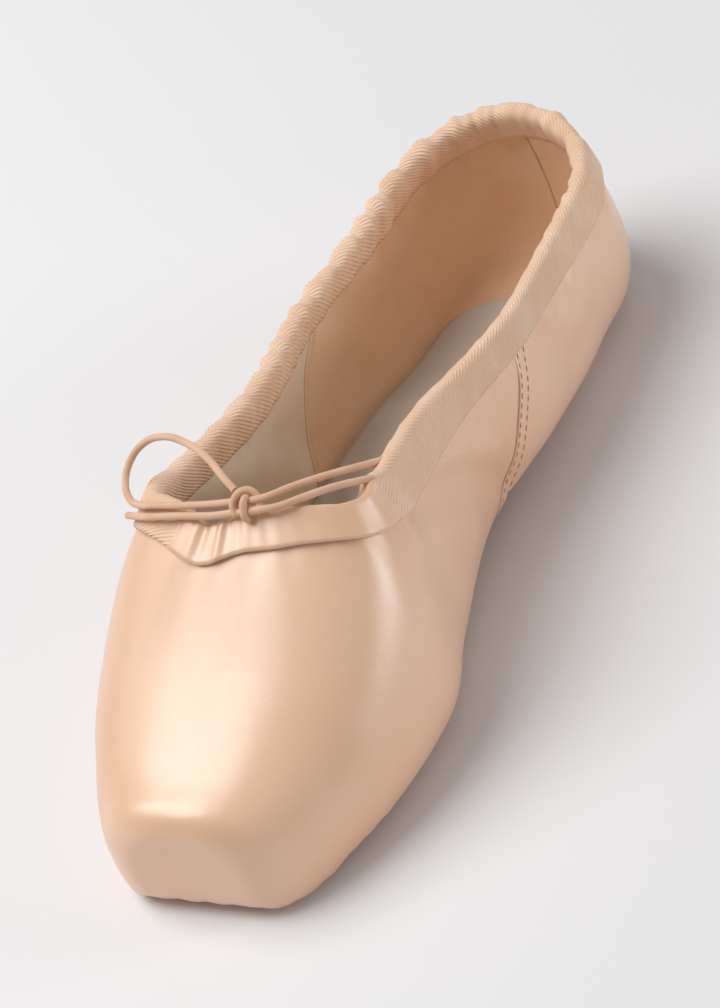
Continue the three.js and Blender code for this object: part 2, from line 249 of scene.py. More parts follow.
def new_finish(name, constants):
    """A material, the start of its node maths, and the sockets of its shader."""
    finish = bpy.data.materials.new(name)
    finish.use_nodes = True
    shader = finish.node_tree.nodes["Principled BSDF"]
    for socket, value in constants.items():
        shader.inputs[socket].default_value = value
    return finish, Tone(finish.node_tree), shader.inputs


def sole_leather():
    finish, tone, sockets = new_finish("sole_leather", {"Specular IOR Level": 0.35})
    place = tone.object_place()
    x, y, _ = place.axes()
    mottle = tone.noise(place, 45, 4)
    grain = tone.noise(place, 900, 3)
    turn = 2 * math.pi / (SCORE["pitch"] * MM)
    line_width = math.pi * SCORE["width"] / SCORE["pitch"]
    start = (SCORE["from"] - MIDDLE) * MM
    stop = (SCORE["to"] - MIDDLE) * MM
    under_ball = y.step(start, start + 3 * MM) * (1 - y.step(stop, stop + 3 * MM))
    rising = ((y + x * SCORE["slope"]) * (turn / 2)).sine().size()
    falling = ((y - x * SCORE["slope"]) * (turn / 4)).sine().size()
    rising_line = 1 - rising.step(line_width * 0.4, line_width)
    falling_line = 1 - falling.step(line_width * 0.2, line_width * 0.5)
    scored = rising_line.math("MAXIMUM", rising_line, falling_line) * under_ball
    leather = mottle.step(0.3, 0.75).mix(colour(176, 116, 82), colour(193, 136, 101))
    (scored * 0.8).mix(leather, colour(112, 66, 44)).feed(sockets["Base Color"])
    (0.5 + mottle * 0.25).feed(sockets["Roughness"])
    pores = tone.bump(grain, 0.05)
    tone.bump(1 - scored, SCORE["depth"], pores).feed(sockets["Normal"])
    return finish


def raw_leather_edge():
    finish, tone, sockets = new_finish("raw_leather_edge", {"Roughness": 0.9, "Specular IOR Level": 0.15})
    fibre = tone.noise(tone.object_place(), 1500, 4)
    fibre.step(0.3, 0.7).mix(colour(190, 138, 104), colour(224, 178, 143)).feed(sockets["Base Color"])
    tone.bump(fibre, 0.3).feed(sockets["Normal"])
    return finish


def outsole_places():
    s = sheet_places(OUTSOLE_TOE["s"], OUTSOLE_HEEL["s"], SOLE_ROWS)
    across = np.linspace(-1, 1, SOLE_COLUMNS)
    x = across[:, None] * sole_half_width(s, 0)[None]
    top = size_at(LAST, "keel", s) - GAP
    return np.stack(np.broadcast_arrays(x, s[None], top[None]), -1)


sole_top = outsole_places()
outsole = cloth_sheet("leather_outsole", sole_top, sole_top[..., :2])
outsole.data.materials.append(sole_leather())
outsole.data.materials.append(raw_leather_edge())
thicken(outsole, SOLE_THICKNESS, rim=1)
edge_round = outsole.modifiers.new("edge", "BEVEL")
edge_round.width = SOLE_EDGE_ROUND * MM
edge_round.segments = 3
edge_round.limit_method = "ANGLE"
edge_round.angle_limit = math.radians(50)
part_of_shoe(outsole, "sole_leather", "outsole")

# Upper: satin backed with cotton, pulled over the last wet with paste, which sets into the stiff toe box.
# Vamp and quarters meet in a slanting seam on each side, and the edge is pleated in under the sole.
SHOE_LENGTH = 238
PLATFORM_EDGE = 6
FEATHER_POWER = 2.3
HEEL_POWER = 2.15
HEEL_LEAN = {"height": 50, "forward": 5}
COLLAR = {
    "way": [0, 0.2, 0.3, 0.37, 0.44, 0.52, 0.62, 0.75, 1],
    "z": [66, 66, 65, 60, 53.5, 49, 46.5, 45.5, 50.5],
}
SCOOP = {"turn": -0.1, "width": 0.13, "depth": 2.4}
AXIS_HEIGHT = 24
TOE_AXIS = 88
TOE_FAN_WIDTH = 42
TOE_SHARE = 0.4
HEEL_SHARE = 0.75
SIDE_SLANT = 0.8
SOLE_LAP = 6
QUARTER_WALL = 1.6
BOX_WALL = 2.6
BOX_FADE = {"from": 50, "to": 110}
SATIN_COLUMNS = 420
SATIN_ROWS = 84
SEAM = {"s": 143, "band": 4, "rise": 0.5, "edge": 0.8, "foot": 9}
SEAM_GRID = {"step": 0.4, "each_way": 9, "clear": 0.002}
BINDING_DEPTH = 9


def half_width_at(s, z):
    """Half the width of the last at a place along it and a height, or less than nothing outside it."""
    at = np.minimum(s, HEEL_AXIS)
    reach = np.clip(PLATFORM_EDGE - s, 0, PLATFORM_EDGE)
    edge = PLATFORM_EDGE - np.sqrt(PLATFORM_EDGE**2 - reach**2)
    belly = size_at(LAST, "belly", at)
    crown = size_at(LAST, "crown", at) - edge
    keel = size_at(LAST, "keel", at) + edge
    widest = size_at(LAST, "half_width", at) - edge
    above = (z - belly) / (crown - belly)
    below = (belly - z) / (belly - keel)
    lean = HEEL_LEAN["forward"] * ((z - belly) / (HEEL_LEAN["height"] - belly)) ** 2
    spread = widest - size_at(LAST, "tread", at) + edge
    tuck = np.where(z > belly, lean, spread * (1 - rounded(below, FEATHER_POWER)))
    domed = widest * rounded(above, size_at(LAST, "shoulder", at))
    half = np.where(z > belly, domed, widest - tuck)
    round_heel = rounded((s - HEEL_AXIS) / (SHOE_LENGTH - HEEL_AXIS - tuck), HEEL_POWER)
    half = np.where(s > HEEL_AXIS, half * round_heel, half)
    return np.where((s < 0) | (above > 1) | (below > 1), -1, half)


def last_true(test, near, far):
    """Bisects between values where a test holds and values where it fails."""
    holds = near
    fails = far
    for _ in range(26):
        middle = (holds + fails) / 2
        good = test(middle)
        holds = np.where(good, middle, holds)
        fails = np.where(good, fails, middle)
    return holds


def meridian_frame(turns):
    """Where meridians stand and which way they face: turn 0 is the toe, 1 or -1 the heel."""
    way = np.abs(turns)
    side = np.where(turns < 0, -1, 1)
    quarter = np.clip(way / TOE_SHARE, 0, 1) * np.pi / 2
    toe = np.arctan2(np.sin(quarter) * TOE_FAN_WIDTH, np.cos(quarter) * TOE_AXIS)
    share = np.clip((way - TOE_SHARE) / (HEEL_SHARE - TOE_SHARE), 0, 1)
    heel = np.clip((way - HEEL_SHARE) / (1 - HEEL_SHARE), 0, 1) * np.pi / 2
    axis = TOE_AXIS + share * (HEEL_AXIS - TOE_AXIS)
    across = side * np.sin(toe) * np.cos(heel)
    along = np.sin(heel) - np.cos(toe) * (way < TOE_SHARE)
    return axis, across, along, SIDE_SLANT * np.sin(share * np.pi)


def last_point(turns, angle):
    """The points of the last that meridians reach at an angle above the level of their axis."""
    axis, across, along, slant = meridian_frame(turns)
    x = across * np.cos(angle)
    s = along * np.cos(angle) + slant * np.sin(angle)
    z = np.sin(angle)

    def is_inside(d):
        return np.abs(x * d) <= half_width_at(axis + s * d, AXIS_HEIGHT + z * d)

    far = np.full(np.shape(angle), float(SHOE_LENGTH))
    distance = last_true(is_inside, np.zeros_like(far), far)
    return np.stack([x * distance, axis + s * distance, AXIS_HEIGHT + z * distance], -1)


def meridians(turns, rows):
    """Points evenly spaced along each meridian, from the opening underneath to the collar, and the
    length of each meridian."""
    def is_over_opening(angle):
        point = last_point(turns, angle)
        return np.abs(point[..., 0]) < sole_half_width(point[..., 1], SOLE_LAP)

    def is_below_collar(angle):
        return last_point(turns, angle)[..., 2] < edge

    scoop = np.exp(-(((turns - SCOOP["turn"]) / SCOOP["width"]) ** 2))
    edge = size_at(COLLAR, "z", np.abs(turns)) - SCOOP["depth"] * scoop
    level = last_true(is_below_collar, np.zeros_like(turns), np.full_like(turns, np.pi / 2))
    start = last_true(is_over_opening, np.full_like(turns, -np.pi / 2), np.zeros_like(turns))
    share = np.linspace(0, 1, 91)
    angles = start[:, None] + (level - start)[:, None] * share
    path = last_point(np.repeat(turns[:, None], len(share), 1), angles)
    step = np.linalg.norm(np.diff(path, axis=1), axis=-1)
    length = np.concatenate([np.zeros((len(turns), 1)), np.cumsum(step, 1)], 1)
    goal = np.linspace(0, 1, rows)
    places = np.empty((len(turns), rows, 3))
    for i in range(len(turns)):
        for k in range(3):
            places[i, :, k] = np.interp(goal * length[i, -1], length[i], path[i, :, k])
    return places, length[:, -1]


def outward(places):
    """Normals of a sheet whose first and last columns are the same meridian."""
    padded = np.concatenate([places[-2:-1], places, places[1:2]])
    around = np.gradient(padded, axis=0)[1:-1]
    upward = np.gradient(places, axis=1)
    normal = np.cross(around, upward)
    return normal / np.linalg.norm(normal, axis=-1, keepdims=True)


def wall_at(s):
    """The thickness of the upper's wall, which is stiffened in the box."""
    share = np.clip((s - BOX_FADE["from"]) / (BOX_FADE["to"] - BOX_FADE["from"]), 0, 1)
    return BOX_WALL + (QUARTER_WALL - BOX_WALL) * (3 - 2 * share) * share**2


def turn_at(s):
    """The meridian whose foot stands at a place along the side."""
    return TOE_SHARE + (s - TOE_AXIS) / (HEEL_AXIS - TOE_AXIS) * (HEEL_SHARE - TOE_SHARE)


def soft(value, low, high):
    """0 up to low and 1 from high on, with a soft rise between them."""
    share = np.clip((value - low) / (high - low), 0, 1)
    return (3 - 2 * share) * share**2


def crease(places, side, line, width, height):
    """The rise of a soft ridge, or of a trough where the height is negative, along a line of places
    and heights on one side of the shoe."""
    line = np.array(line, float)
    x = side * half_width_at(line[:, 0], line[:, 1])
    points = np.column_stack([x, line])
    nearest = np.full(places.shape[:2], np.inf)
    for a, b in zip(points, points[1:]):
        share = np.clip((places - a) @ (b - a) / ((b - a) @ (b - a)), 0, 1)
        gap = np.linalg.norm(places - a - share[..., None] * (b - a), axis=-1)
        nearest = np.minimum(nearest, gap)
    return height * np.exp(-((nearest / width) ** 2))


HEEL_EASE = {"turn": 0.1, "passes": 60}


def eased(places):
    """Places with the slight break in slope beside the heel axis smoothed away along the rows."""
    smooth = places.copy()
    for _ in range(HEEL_EASE["passes"]):
        smooth[1:-1] = (smooth[:-2] + 2 * smooth[1:-1] + smooth[2:]) / 4
    off = np.abs(np.abs(turns) - HEEL_SHARE)
    share = 1 - soft(off, HEEL_EASE["turn"] / 3, HEEL_EASE["turn"])
    return places + (smooth - places) * share[:, None, None]


seam_turn = turn_at(SEAM["s"])
seam_steps = np.arange(-SEAM_GRID["each_way"], SEAM_GRID["each_way"] + 1)
seam_columns = seam_turn + (turn_at(TOE_AXIS + SEAM_GRID["step"]) - TOE_SHARE) * seam_steps
plain_columns = np.linspace(-1, 1, SATIN_COLUMNS + 1)
seam_reach = seam_columns[-1] - seam_turn + SEAM_GRID["clear"]
clear_of_seam = np.abs(np.abs(plain_columns) - seam_turn) > seam_reach
turns = np.sort(np.concatenate([plain_columns[clear_of_seam], seam_columns, -seam_columns]))
skin = eased(meridians(turns, SATIN_ROWS)[0])
skin_normal = outward(skin)
row_step = np.linalg.norm(np.diff(skin, axis=1), axis=-1)
height_up = np.concatenate([np.zeros((len(turns), 1)), np.cumsum(row_step, 1)], 1)
below_collar = height_up[:, -1:] - height_up
collar_step = np.linalg.norm(np.diff(skin[:, -1], axis=0), axis=-1)
collar_run = np.concatenate([[0], np.cumsum(collar_step)])
foot_step = np.linalg.norm(np.diff(skin[:, 0], axis=0), axis=-1)
foot_run = np.concatenate([[0], np.cumsum(foot_step)])
belly_row = SATIN_ROWS // 2
belly_step = np.linalg.norm(np.diff(skin[:, belly_row], axis=0), axis=-1)
belly_run = np.concatenate([[0], np.cumsum(belly_step)])
cloth_spread = np.stack(np.broadcast_arrays(belly_run[:, None], height_up), -1)

# Soft ridges and troughs: side of the shoe, places and heights along it, width, and height or depth.
CREASES = [
    (1, [(93, 47), (110, 38), (122, 28), (132, 15)], 6, -1.8),
    (1, [(103, 47), (120, 38), (131, 28)], 5, 1.4),
    (1, [(84, 44), (99, 33), (112, 22)], 7, 0.8),
    (1, [(157, 41), (166, 32), (174, 20)], 7, -1.8),
    (1, [(168, 40), (180, 28)], 8, 1.1),
    (-1, [(95, 47), (113, 36), (130, 18)], 6, -1.6),
    (-1, [(106, 47), (123, 36), (134, 24)], 5, 0.9),
    (-1, [(158, 40), (170, 28), (180, 18)], 8, -1.6),
    (-1, [(172, 41), (186, 27)], 8, 0.8),
]
PLEAT = {"pitch": 5.2, "height": 0.7, "from": 6, "to": 2.2}
PLEATED_TOE = {"full": 0.22, "none": 0.33}
PLEATED_HEEL = {"none": 0.8, "full": 0.86}
PUCKER = {"pitch": 6.5, "height": 0.35, "reach": 5}
SCALLOP = {"pitch": 22, "height": 0.9, "reach": 10}


def upper_relief():
    """How far the lasted cloth stands off the smooth last: creases, pleats, puckers and the seam band."""
    way = np.abs(turns)[:, None]
    relief = np.zeros(skin.shape[:2])
    for side, line, width, height in CREASES:
        relief += crease(skin, side, line, width, height)
    below_binding = np.maximum(below_collar - BINDING_DEPTH, 0)
    under = soft(-skin[..., 2], -PLEAT["from"], -PLEAT["to"])
    at_toe = soft(-way, -PLEATED_TOE["none"], -PLEATED_TOE["full"])
    pleated = np.maximum(at_toe, soft(way, PLEATED_HEEL["none"], PLEATED_HEEL["full"]))
    pleated = pleated * (0.65 + 0.35 * np.sin(foot_run / 7.3 + 1))[:, None]
    fold = np.abs(np.sin(np.pi * foot_run / PLEAT["pitch"] + 0.7 * np.sin(foot_run / 11)))[:, None]
    relief -= PLEAT["height"] * under * pleated * (1 - fold)
    gathered = 0.35 + 0.65 * soft(way, 0.45, 0.6)
    wander = 2 * np.pi * (collar_run / PUCKER["pitch"] + 0.3 * np.sin(collar_run / 9))
    fine = np.sin(wander)[:, None] * np.exp(-((below_binding / PUCKER["reach"]) ** 2))
    relief += PUCKER["height"] * gathered * fine
    sway = 2 * np.pi * (collar_run / SCALLOP["pitch"] + 0.2 * np.sin(collar_run / 31))
    broad = np.sin(sway)[:, None] * np.exp(-((below_binding / SCALLOP["reach"]) ** 2))
    relief += SCALLOP["height"] * soft(way, 0.55, 0.7) * broad
    off_seam = np.abs(way - seam_turn) * (HEEL_AXIS - TOE_AXIS) / (HEEL_SHARE - TOE_SHARE)
    half = SEAM["band"] / 2
    in_band = 1 - soft(off_seam, half, half + SEAM["edge"])
    relief += SEAM["rise"] * in_band * soft(skin[..., 2], SEAM["foot"] - 2, SEAM["foot"])
    return relief * soft(below_collar, BINDING_DEPTH - 5, BINDING_DEPTH + 3)


SATIN_THICKNESS = 0.6
SEAM_LINE = 0.3
TWILL_PITCH = 0.55
seam_runs = np.interp([-seam_turn, seam_turn], turns, belly_run)


def near_seams(along, edge):
    """1 on the line at a distance before the middle of either seam band, and 0 away from it."""
    left = (along - (seam_runs[0] + edge) * MM).size()
    right = (along - (seam_runs[1] - edge) * MM).size()
    return 1 - left.math("MINIMUM", left, right).step(SEAM_LINE * 0.4 * MM, SEAM_LINE * MM)


def satin():
    constants = {"Specular IOR Level": 0.9, "Sheen Weight": 0.2, "Sheen Roughness": 0.35}
    constants |= {"Coat Roughness": 0.3, "Sheen Tint": colour(255, 226, 204)}
    finish, tone, sockets = new_finish("satin", constants)
    place = tone.object_place()
    along, up = tone.cloth_place()
    broad = tone.noise(place, 18, 2)
    slub = tone.noise(place, 240, 3)
    twill = ((along + up) * (2 * math.pi / (TWILL_PITCH * MM))).sine()
    peach = broad.step(0.3, 0.7).mix(colour(236, 189, 152), colour(241, 199, 165))
    # Painted shade: a dark line is painted along the step at the front edge of each raised side-seam band.
    seam_edge_shade = near_seams(along, SEAM["band"] / 2 + SEAM["edge"] / 2)
    (seam_edge_shade * 0.7).mix(peach, colour(158, 98, 70)).feed(sockets["Base Color"])
    (0.25 + slub * 0.14).feed(sockets["Roughness"])
    (0.3 + broad * 0.4).feed(sockets["Coat Weight"])
    weave = tone.bump(twill, 0.008)
    tone.bump(slub, 0.03, weave).feed(sockets["Normal"])
    return finish


relief = upper_relief()
upper_places = skin + skin_normal * relief[..., None]
upper = cloth_sheet("satin_upper", upper_places, cloth_spread)
upper.data.materials.append(satin())
thicken(upper, SATIN_THICKNESS)
part_of_shoe(upper, "satin", "upper")

# Lining: cotton drill pasted inside the upper. The quarters' lining is peach like the satin and the vamp's
# is pale. They meet along the side seams, and the quarters' lining is closed by a seam up the back.
LINING_THICKNESS = 0.6
RIB_PITCH = 1.5
JOIN = 0.2


def lining_cotton():
    constants = {"Roughness": 0.88, "Specular IOR Level": 0.2, "Sheen Weight": 0.15}
    finish, tone, sockets = new_finish("lining_cotton", constants)
    place = tone.object_place()
    along, _ = tone.cloth_place()
    blotch = tone.noise(place, 60, 3)
    fluff = tone.noise(place, 1400, 2)
    ribs = (along * (2 * math.pi / (RIB_PITCH * MM))).sine()
    past_left, past_right = [along.step((run - JOIN) * MM, (run + JOIN) * MM) for run in seam_runs]
    in_quarter = 1 - past_left + past_right
    quarter = blotch.step(0.2, 0.8).mix(colour(233, 196, 162), colour(239, 206, 175))
    vamp = blotch.step(0.3, 0.7).mix(colour(226, 206, 182), colour(236, 219, 198))
    half_round = belly_run[-1] / 2
    off_toe = (along - half_round * MM).size()
    at_back = off_toe.step((half_round - SEAM_LINE * 1.5) * MM, (half_round - SEAM_LINE * 0.5) * MM)
    line = near_seams(along, 0) * 0.75 + at_back * 0.45
    line.mix(in_quarter.mix(vamp, quarter), colour(126, 76, 54)).feed(sockets["Base Color"])
    rough = tone.bump(fluff, 0.1)
    tone.bump(ribs * in_quarter, 0.025, rough).feed(sockets["Normal"])
    return finish


lining_places = (skin + skin_normal * (relief - wall_at(skin[..., 1]))[..., None])[::-1]
lining = cloth_sheet("cotton_lining", lining_places, cloth_spread[::-1])
lining.data.materials.append(lining_cotton())
thicken(lining, LINING_THICKNESS)
part_of_shoe(lining, "satin", "upper")

# Insole: thin board under a pale grey sock, laid into the bottom of the shoe and cupped up to the lining
# at the waist.
INSOLE_THICKNESS = 2
INSOLE = {
    "s": [18, 40, 62, 90, 125, 160, 190, 211],
    "half_width": [25, 29, 30, 26.5, 23.5, 23, 20.5, 18.5],
}
INSOLE_TOE = {"s": 18, "round": 26, "power": 2.15}
INSOLE_HEEL = {"s": 211, "round": 15, "power": 2.15}
INSOLE_COLUMNS = 40
INSOLE_ROWS = 150


def inside_bottom(x, s):
    """The height of the inside of the upper's bottom, level over the tread and curling up beyond it."""
    at = np.minimum(s, HEEL_AXIS)
    wall = wall_at(s) + GAP
    belly = size_at(LAST, "belly", at)
    keel = size_at(LAST, "keel", at) + wall
    tread = size_at(LAST, "tread", at) - wall
    spread = size_at(LAST, "half_width", at) - wall - tread
    return belly - (belly - keel) * rounded(np.maximum((np.abs(x) - tread) / spread, 0), FEATHER_POWER)


def insole_places():
    s = sheet_places(INSOLE_TOE["s"], INSOLE_HEEL["s"], INSOLE_ROWS)[None]
    across = np.linspace(-1, 1, INSOLE_COLUMNS)[:, None]
    x = across * outline_half_width(INSOLE, INSOLE_TOE, INSOLE_HEEL, s, 0)
    return np.stack(np.broadcast_arrays(x, s, inside_bottom(x, s) + INSOLE_THICKNESS), -1)


def insole_sock():
    constants = {"Roughness": 0.85, "Specular IOR Level": 0.2}
    finish, tone, sockets = new_finish("insole_sock", constants)
    place = tone.object_place()
    wear = tone.noise(place, 30, 3)
    nap = tone.noise(place, 1200, 2)
    wear.step(0.3, 0.75).mix(colour(196, 187, 175), colour(212, 203, 191)).feed(sockets["Base Color"])
    tone.bump(nap, 0.1).feed(sockets["Normal"])
    return finish


insole_top = insole_places()
insole = cloth_sheet("insole_sock", insole_top, insole_top[..., :2])
insole.data.materials.append(insole_sock())
thicken(insole, INSOLE_THICKNESS)
part_of_shoe(insole, "insole_sock", "insole")

# Heel strip: a narrow strip of satin up the back of the heel, over the quarters' back seam. Its edges are
# turned under and stitched along both sides.
STRIP = {"half_turn": 0.0357, "thickness": 0.8, "columns": 17, "rows": 70, "from": 0.1, "tuck": 1}


def strip_turns(count, half_turn):
    """Meridians across the middle of the heel, where 1 runs on into -1."""
    across = np.linspace(-half_turn, half_turn, count)
    return np.where(across <= 0, 1 + across, across - 1)


strip_skin, strip_length = meridians(strip_turns(STRIP["columns"], STRIP["half_turn"]), STRIP["rows"])
strip_up = np.linspace(0, 1, STRIP["rows"])
strip_top = 1 - (BINDING_DEPTH - STRIP["tuck"]) / strip_length.min()
strip_kept = (strip_up >= STRIP["from"]) & (strip_up <= strip_top)
strip_skin = strip_skin[:, strip_kept]
strip_normal = np.cross(np.gradient(strip_skin, axis=0), np.gradient(strip_skin, axis=1))
strip_normal /= np.linalg.norm(strip_normal, axis=-1, keepdims=True)
strip_across = np.abs(np.linspace(-1, 1, STRIP["columns"]))
strip_lift = GAP + STRIP["thickness"] * (1 - 0.45 * soft(strip_across, 0.8, 1))
strip_places = strip_skin + strip_normal * strip_lift[:, None, None]
heel_strip = cloth_sheet("satin_heel_strip", strip_places, strip_places[..., [0, 2]])
heel_strip.data.materials.append(upper.data.materials[0])
thicken(heel_strip, SATIN_THICKNESS)
part_of_shoe(heel_strip, "satin", "heel_strip")

# Binding: cotton twill tape folded over the collar as the casing of the drawstring. It is gathered round
# the heel, and rolls over the edge of upper and lining.
BINDING_COLUMNS = 900
BINDING_TAPE = 0.8
GATHER = {
    "turn": [-1, -0.98, -0.93, -0.75, -0.5, -0.35, -0.22, -0.1, 0.1, 0.3, 0.6, 0.8, 0.93, 0.98, 1],
    "strength": [0, 0.3, 0.9, 1.2, 0.9, 0.3, 0.5, 0.7, 0.35, 0.2, 0.2, 0.6, 0.9, 0.3, 0],
}
GATHER_PITCH = 9.5
GATHER_HEIGHT = 0.5
CASING = {"left": -0.215, "right": 0.376, "mouth": 2.6, "fade": 0.5}
OPEN_TAPE = {"flatter": 0.7, "lower": 0.5}
TAPE_GRID = 60
TAPE_STAND_OFF = 1
TAPE_RIB = 1.1
TAPE_FOLD = 11.5

# Rows of the folded tape, from its outer edge to its inner one: share of the way up from the foot of the
# binding to the collar, the leg that the row is measured from, distance off it, and height over the collar.
TAPE_ROWS = [
    (0.0, "outer", -0.15, 0.0),
    (0.12, "outer", 0.1, 0.0),
    (0.3, "outer", 0.2, 0.0),
    (0.5, "outer", 0.3, 0.0),
    (0.7, "outer", 0.4, 0.0),
    (0.88, "outer", 0.5, 0.0),
    (1.0, "outer", 0.45, 0.1),
    (1.0, "outer", 0.1, 0.9),
    (1.0, "outer", -0.5, 1.5),
    (1.0, "middle", 0.0, 1.85),
    (1.0, "inner", 0.0, 1.6),
    (1.0, "inner", -0.75, 1.0),
    (1.0, "inner", -1.2, 0.1),
    (0.86, "inner", -1.4, 0.0),
    (0.65, "inner", -1.35, 0.0),
    (0.4, "inner", -1.2, 0.0),
    (0.2, "inner", -1.05, 0.0),
    (0.04, "inner", -0.9, 0.0),
]


def binding_places(ways):
    """The tape's outside, and how far along and across the tape each place is."""
    places, length = meridians(ways, TAPE_GRID)
    normal = outward(places)
    foot = np.empty((len(ways), 3))
    foot_normal = np.empty((len(ways), 3))
    grid = np.linspace(0, 1, TAPE_GRID)
    for i, share in enumerate(1 - BINDING_DEPTH / length):
        for k in range(3):
            foot[i, k] = np.interp(share, grid, places[i, :, k])
            foot_normal[i, k] = np.interp(share, grid, normal[i, :, k])
    top = places[:, -1]
    top_normal = normal[:, -1]
    upward = (top - foot) / np.linalg.norm(top - foot, axis=-1, keepdims=True)
    outer = np.full_like(ways, GAP + TAPE_STAND_OFF)
    inner = -wall_at(top[:, 1]) - GAP
    legs = {"outer": outer, "middle": (outer + inner) / 2, "inner": inner}
    is_open = soft(ways, CASING["left"] - 0.01, CASING["left"] + 0.01)
    is_open = is_open * (1 - soft(ways, CASING["right"] - 0.03, CASING["right"] + 0.01))
    mouth = soft(ways, CASING["right"] - 0.02, CASING["right"] + 0.01)
    mouth = CASING["mouth"] * mouth * (1 - soft(ways, CASING["right"] + 0.05, CASING["fade"]))
    sheet = []
    for share, leg, off, above in TAPE_ROWS:
        base = foot + (top - foot) * share
        facing = foot_normal + (top_normal - foot_normal) * share
        distance = legs[leg] + off * (1 - OPEN_TAPE["flatter"] * is_open)
        lift = above * (1 - OPEN_TAPE["lower"] * is_open) + mouth * soft(share, 0.5, 1.0)
        sheet.append(base + facing * distance[:, None] + upward * lift[:, None])
    sheet = np.stack(sheet, 1)
    run = np.concatenate([[0], np.cumsum(np.linalg.norm(np.diff(top, axis=0), axis=-1))])
    step = np.linalg.norm(np.diff(sheet, axis=1), axis=-1)
    across = np.concatenate([np.zeros((len(ways), 1)), np.cumsum(step, 1)], 1)
    row_share = np.linspace(-1, 1, sheet.shape[1])[None]
    wander = 0.3 * np.sin(run / 8.3) + 0.35 * np.sin(run / 19)
    phase = 2 * np.pi * (run / GATHER_PITCH + wander)[:, None]
    gathers = np.sin(phase + 0.6 * row_share) + 0.45 * np.sin(2.3 * phase - 1.3 * row_share)
    free = np.sqrt(np.clip(1 - (0.93 * row_share) ** 2, 0, 1))
    strength = size_at(GATHER, "strength", ways)[:, None]
    sheet = sheet + outward(sheet) * (GATHER_HEIGHT * strength * gathers * free)[..., None]
    return sheet, np.stack(np.broadcast_arrays(run[:, None], across), -1)


def twill_tape():
    constants = {"Roughness": 0.75, "Specular IOR Level": 0.3, "Sheen Weight": 0.2}
    finish, tone, sockets = new_finish("twill_tape", constants)
    place = tone.object_place()
    along, across = tone.cloth_place()
    fold = (across - TAPE_FOLD * MM).size()
    ribs = ((along * 0.75 + fold) * (2 * math.pi / (TAPE_RIB * MM))).sine()
    threads = tone.noise(place, 1600, 2)
    shade = tone.noise(place, 90, 2)
    base = shade.step(0.3, 0.7).mix(colour(241, 203, 171), colour(247, 215, 187))
    ((1 - ribs.step(-1.0, 0.2)) * 0.3).mix(base, colour(218, 160, 120)).feed(sockets["Base Color"])
    rough = tone.bump(threads, 0.06)
    tone.bump(ribs, 0.075, rough).feed(sockets["Normal"])
    return finish


tape_ways = np.linspace(-1, 1, BINDING_COLUMNS + 1)
tape_places, tape_spread = binding_places(tape_ways)
open_columns = ((tape_ways > CASING["left"]) & (tape_ways < CASING["right"])).astype(int)
binding = cloth_sheet("twill_binding", tape_places, tape_spread, open_columns)
binding.data.materials.append(twill_tape())
binding.data.materials.append(upper.data.materials[0])
thicken(binding, BINDING_TAPE)
part_of_shoe(binding, "twill_tape", "binding")

# Seam stitches: fine brown thread, in two rows along each side seam and one along each edge of the heel
# strip. Each stitch lies half sunk in the satin.
STITCH = {"length": 1.7, "pitch": 2.4, "thick": 0.42, "seam_rows": [-1.5, 1.5], "strip_inset": 1.3}


def stitch_row(bm, places, normals):
    """Stitches along a row of places, lying on the cloth."""
    run = np.concatenate([[0], np.cumsum(np.linalg.norm(np.diff(places, axis=0), axis=-1))])
    for at in np.arange(STITCH["pitch"] / 2, run[-1] - STITCH["length"], STITCH["pitch"]):
        ends = [at, at + STITCH["length"]]
        first, last = np.stack([np.interp(ends, run, places[:, k]) for k in range(3)], -1)
        out = np.array([np.interp(at, run, normals[:, k]) for k in range(3)])
        out = Vector(out / np.linalg.norm(out))
        along = Vector(last - first)
        side = along.normalized().cross(out)
        scale = STITCH["thick"] / 2 * MM
        columns = (along / 2 * MM, side * scale, out * scale)
        turned = Matrix(columns).transposed().to_4x4()
        middle = (first + last) / 2
        middle[1] -= MIDDLE
        turned.translation = Vector(middle * MM)
        bmesh.ops.create_uvsphere(bm, u_segments=6, v_segments=4, radius=1, matrix=turned)


def thread():
    finish, tone, sockets = new_finish("thread", {"Roughness": 0.55, "Specular IOR Level": 0.3})
    twist = tone.noise(tone.object_place(), 2500, 1)
    twist.step(0.3, 0.7).mix(colour(172, 116, 88), colour(204, 150, 118)).feed(sockets["Base Color"])
    tone.bump(twist, 0.05).feed(sockets["Normal"])
    return finish


stitch_mesh = bmesh.new()
mm_turn = turn_at(TOE_AXIS + 1) - TOE_SHARE
for side in (-1, 1):
    for offset in STITCH["seam_rows"]:
        column = np.abs(turns - side * (seam_turn + offset * mm_turn)).argmin()
        is_shown = (skin[column, :, 2] > SEAM["foot"]) & (below_collar[column] > BINDING_DEPTH + 0.5)
        stitch_row(stitch_mesh, upper_places[column][is_shown], skin_normal[column][is_shown])
strip_edge = STITCH["strip_inset"] / np.linalg.norm(strip_places[-1] - strip_places[0], axis=-1).max()
for share in (strip_edge, 1 - strip_edge):
    column = round(share * (STRIP["columns"] - 1))
    stitch_row(stitch_mesh, strip_places[column], strip_normal[column])
for face in stitch_mesh.faces:
    face.smooth = True
stitches = placed("seam_stitches", stitch_mesh)
stitches.data.materials.append(thread())
part_of_shoe(stitches, "satin")

